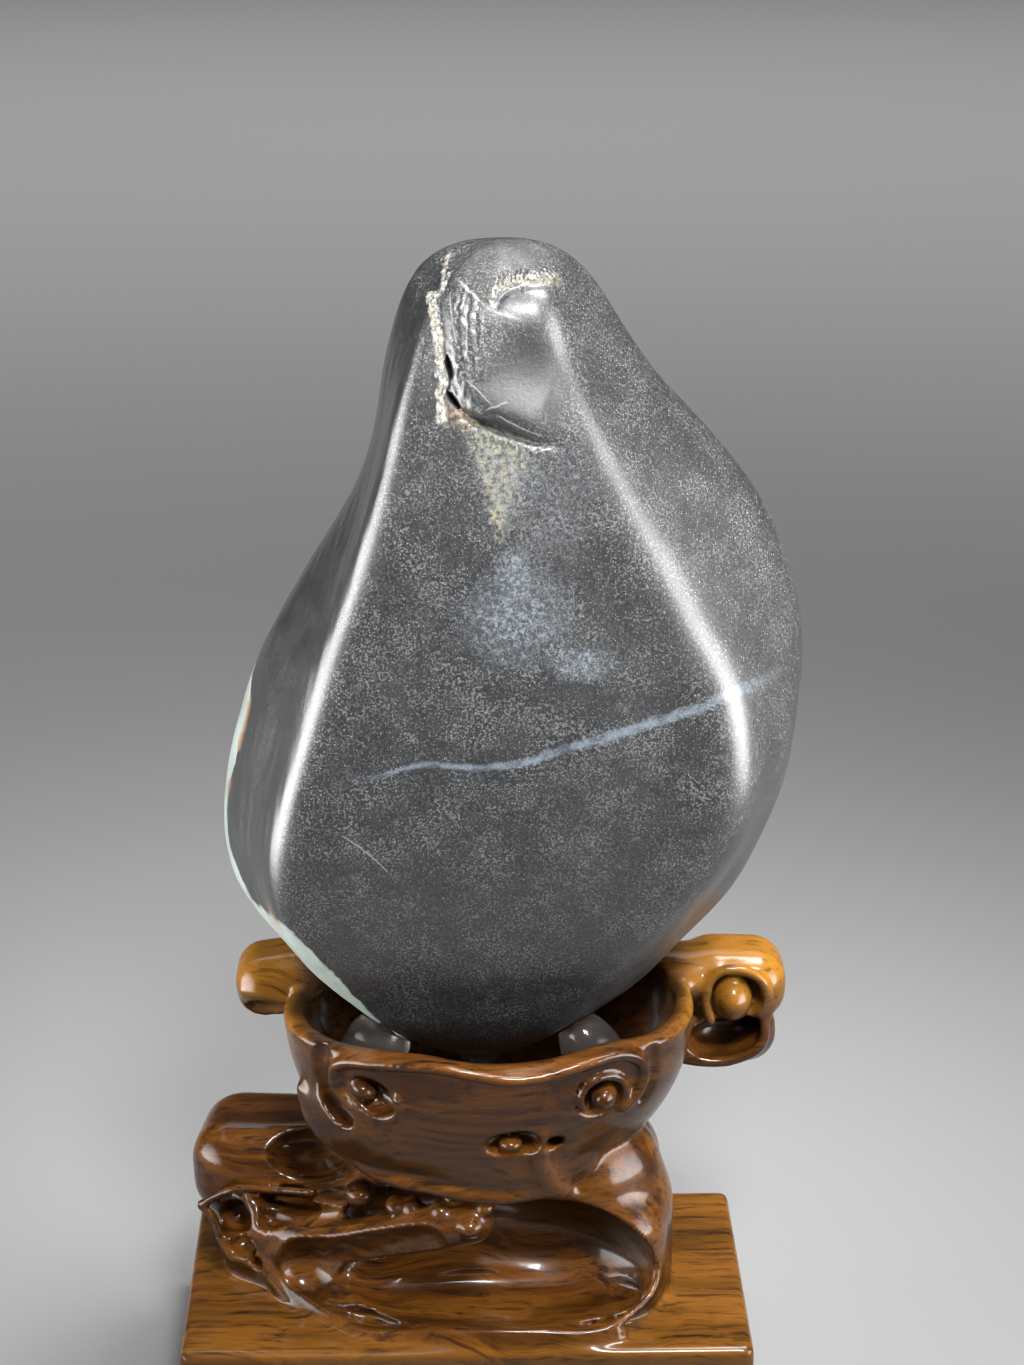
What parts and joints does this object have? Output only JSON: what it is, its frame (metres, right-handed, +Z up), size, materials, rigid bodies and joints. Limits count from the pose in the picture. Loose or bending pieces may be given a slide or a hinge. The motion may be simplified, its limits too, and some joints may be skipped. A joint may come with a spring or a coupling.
{
  "type": "scholars rock on a carved stand",
  "caption": "Smooth black pear-shaped scholar's rock with two soft front ridges, resting on clear pads in the bowl of a carved hardwood stand.",
  "frame": {"origin": "middle of the stand's flat underside", "axes": "+Z up through the standing stone, -Y towards the front face with the two ridges, +X to the viewer's right"},
  "size_m": [0.1144, 0.0602, 0.221],
  "materials": {
    "black_stone": "smooth water-worn black stone with a satin sheen, fine pale grains, a blue-grey vein and a gold-grey patch at the cleft",
    "carved_wood": "polished, waxed red-brown hardwood with dark grain",
    "clear_pad": "clear soft rubber blob"
  },
  "bodies": {
    "root": {"stone": "black_stone", "stand": "carved_wood", "pad_left": "clear_pad", "pad_right": "clear_pad", "pad_back": "clear_pad"}
  },
  "joints": []
}
